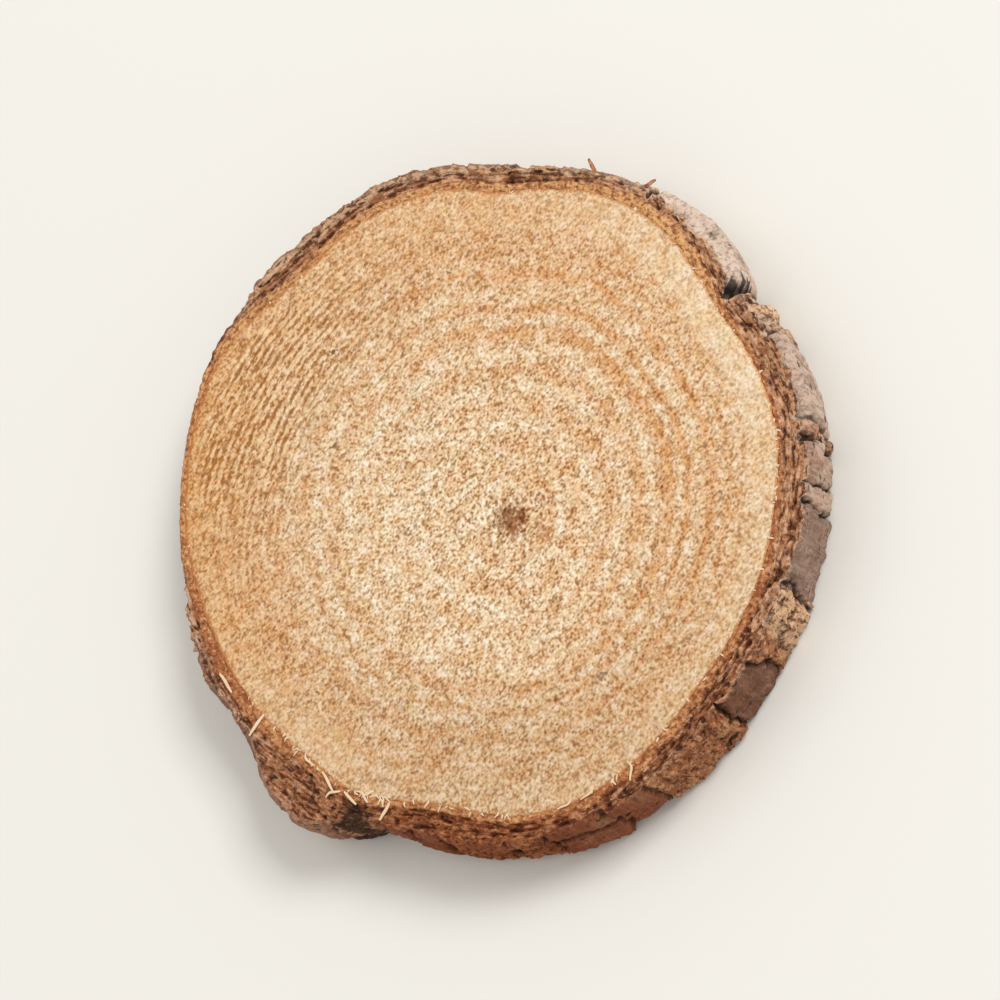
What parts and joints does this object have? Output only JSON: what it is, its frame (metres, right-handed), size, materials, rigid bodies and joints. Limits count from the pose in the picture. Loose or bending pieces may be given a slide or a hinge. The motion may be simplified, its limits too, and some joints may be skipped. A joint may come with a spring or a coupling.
{
  "type": "wood slice",
  "caption": "Thin round slice sawn across a small trunk, bark left on the rim, growth rings on both flat sawn faces; lies flat as a coaster, stand or craft blank.",
  "frame": {"origin": "middle of the slice's box, on the surface that its underside lies on", "axes": "+Z out of the upper sawn face, +X to the right and +Y up as the picture shows that face"},
  "size_m": [0.0894, 0.0924, 0.01],
  "materials": {
    "sawn_wood": "rough sawn, dry, unsealed",
    "bark": "rough natural bark, dry"
  },
  "bodies": {
    "root": {"wood_slice": "sawn_wood"}
  },
  "joints": []
}
